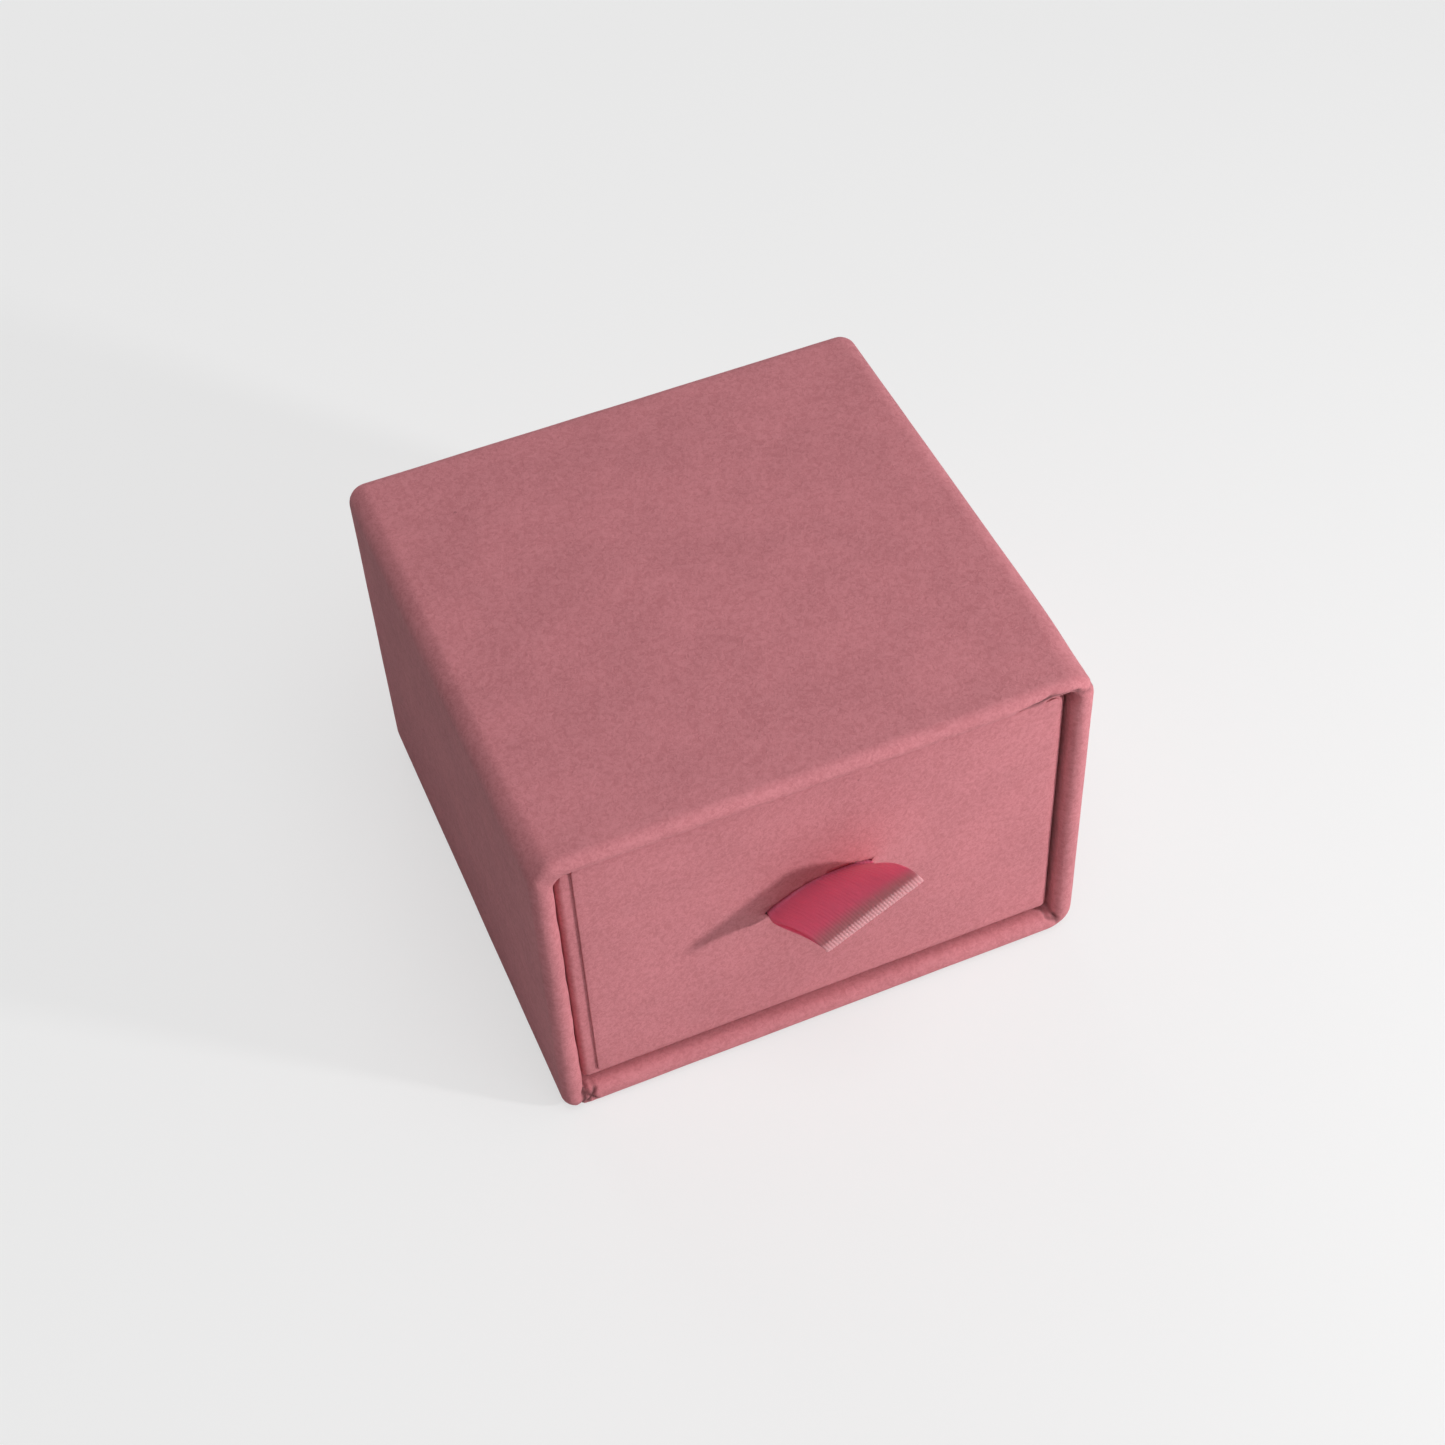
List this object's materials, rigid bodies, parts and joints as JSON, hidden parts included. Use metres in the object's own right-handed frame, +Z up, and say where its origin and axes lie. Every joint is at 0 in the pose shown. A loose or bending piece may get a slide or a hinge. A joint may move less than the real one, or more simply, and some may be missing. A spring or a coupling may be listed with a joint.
{
  "type": "jewelry box",
  "caption": "Small papered board ring box: a tray with a foam and velvet ring pad slides out of a square sleeve, pulled by a doubled ribbon tab in a curved slit.",
  "frame": {"origin": "middle of the sleeve's underside", "axes": "+Z up from the underside, -Y out of the sleeve's mouth the way the drawer opens, +X to the right of someone facing the mouth"},
  "size_m": [0.05, 0.0555, 0.0345],
  "materials": {
    "wrap_paper": "matte fibrous paper, dusty pink",
    "facing_paper": "matte fibrous paper, dusty pink",
    "liner_paper": "matte smooth paper, pale pink",
    "greyboard": "raw grey board",
    "stay_tape": "gummed kraft paper",
    "ribbon": "woven ribbon, rose red",
    "foam": "fine open-cell foam, off-white",
    "velvet": "short-pile velvet, ivory",
    "backing_card": "raw grey card"
  },
  "bodies": {
    "sleeve": {"sleeve_wrap_paper": "wrap_paper", "sleeve_liner_paper": "liner_paper", "sleeve_back_board": "greyboard", "sleeve_top_board": "greyboard", "sleeve_base_board": "greyboard", "sleeve_left_board": "greyboard", "sleeve_right_board": "greyboard", "sleeve_tape_top_left": "stay_tape", "sleeve_tape_top_right": "stay_tape", "sleeve_tape_base_left": "stay_tape", "sleeve_tape_base_right": "stay_tape", "sleeve_underside_paper": "wrap_paper"},
    "drawer": {"drawer_wrap_paper": "wrap_paper", "drawer_liner_paper": "liner_paper", "drawer_base_board": "greyboard", "drawer_front_board": "greyboard", "drawer_back_board": "greyboard", "drawer_left_board": "greyboard", "drawer_right_board": "greyboard", "drawer_tape_back_left": "stay_tape", "drawer_tape_back_right": "stay_tape", "drawer_tape_front_left": "stay_tape", "drawer_tape_front_right": "stay_tape", "drawer_front_facing": "facing_paper", "ribbon_tails": "ribbon", "ribbon_holding_paper": "liner_paper", "insert_backing_card": "backing_card", "insert_foam_block": "foam", "insert_velvet_cover": "velvet"},
    "pull_tab": {"ribbon_tab": "ribbon"}
  },
  "joints": [
    {"name": "drawer_slide", "type": "slide", "parent": "sleeve", "child": "drawer", "axis": [0, -1, 0], "range_m": [0, 0.042]},
    {"name": "ribbon_flex", "type": "hinge", "parent": "drawer", "child": "pull_tab", "pos_m": [-0.00005, -0.0248, 0.01872], "axis": [-0.9781, 0, -0.2079], "range_deg": [-40, 30], "stiffness_Nm_per_rad": 0.0001}
  ]
}
